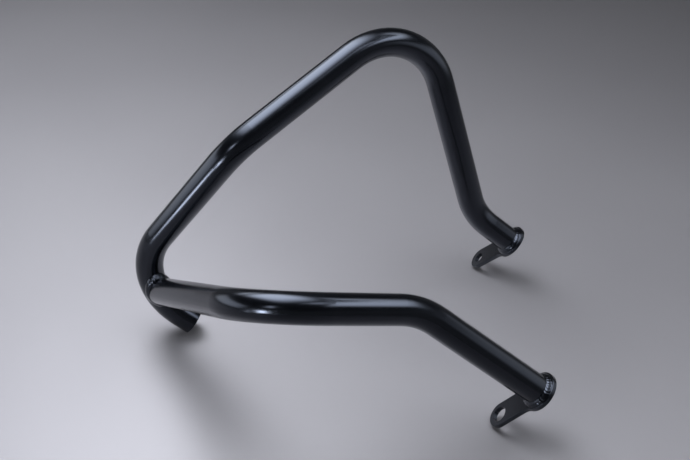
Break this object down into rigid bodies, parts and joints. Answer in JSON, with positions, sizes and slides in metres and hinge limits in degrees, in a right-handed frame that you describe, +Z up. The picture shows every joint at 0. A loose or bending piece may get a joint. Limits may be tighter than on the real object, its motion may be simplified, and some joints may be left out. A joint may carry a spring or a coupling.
{
  "type": "motorcycle crash bars",
  "caption": "Motorcycle crash bars for one side: a looped bent tube with a coped and welded lower arm and keyhole mounting plates, in black powder coat.",
  "frame": {"origin": "on the floor, at the middle of the bars' footprint box, as they rest on the tail's cut end and both tongue tips", "axes": "+X level, from the outer rail towards the mounting plates; +Y level, from the lower plate to the upper plate; +Z up"},
  "size_m": [0.3228, 0.2542, 0.2408],
  "materials": {
    "powder_coat": "satin"
  },
  "bodies": {
    "root": {"main_tube": "powder_coat", "lower_arm": "powder_coat", "upper_plate": "powder_coat", "lower_plate": "powder_coat", "upper_plate_weld": "powder_coat", "lower_plate_weld": "powder_coat", "saddle_weld": "powder_coat"}
  },
  "joints": []
}
